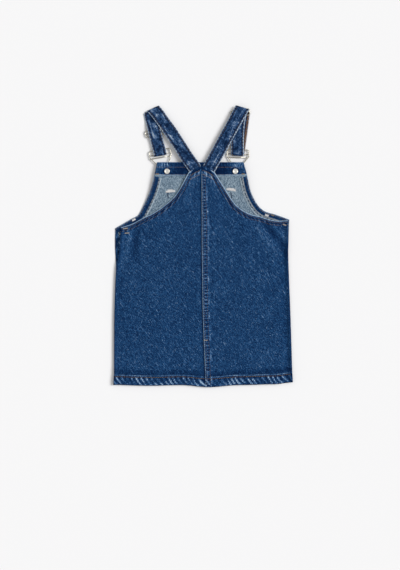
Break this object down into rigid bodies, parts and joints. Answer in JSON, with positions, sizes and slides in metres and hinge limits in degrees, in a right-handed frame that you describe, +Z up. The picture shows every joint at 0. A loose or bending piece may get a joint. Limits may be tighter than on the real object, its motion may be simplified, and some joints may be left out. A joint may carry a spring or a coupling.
{
  "type": "pinafore dress",
  "caption": "Child's denim pinafore dress lying flat on its front, back panels up, with shoulder straps folded over, wire buckles, sliders and bib buttons.",
  "frame": {"origin": "middle of the dress's outline, on the surface that it lies on", "axes": "+X to the right as seen from above, +Y from the hem to the shoulders, +Z up from the surface to the back of the dress"},
  "size_m": [0.3772, 0.5915, 0.012],
  "materials": {
    "denim": "washed blue denim, right side out, with pale worn edges and tobacco brown topstitching",
    "denim_inside": "wrong side of the same denim, pale grey blue",
    "steel": "nickel plated wire and pressed steel"
  },
  "bodies": {
    "root": {"front_panel": "denim_inside", "bib_top_hem": "denim", "armhole_ply_left": "denim", "armhole_ply_right": "denim", "bib_pocket": "denim", "back_left": "denim", "back_right": "denim", "strap_left": "denim", "strap_right": "denim", "slider_left": "steel", "slider_right": "steel", "buckle_left": "steel", "buckle_right": "steel", "button_left": "steel", "button_right": "steel", "tack_left": "steel", "tack_right": "steel"}
  },
  "joints": []
}
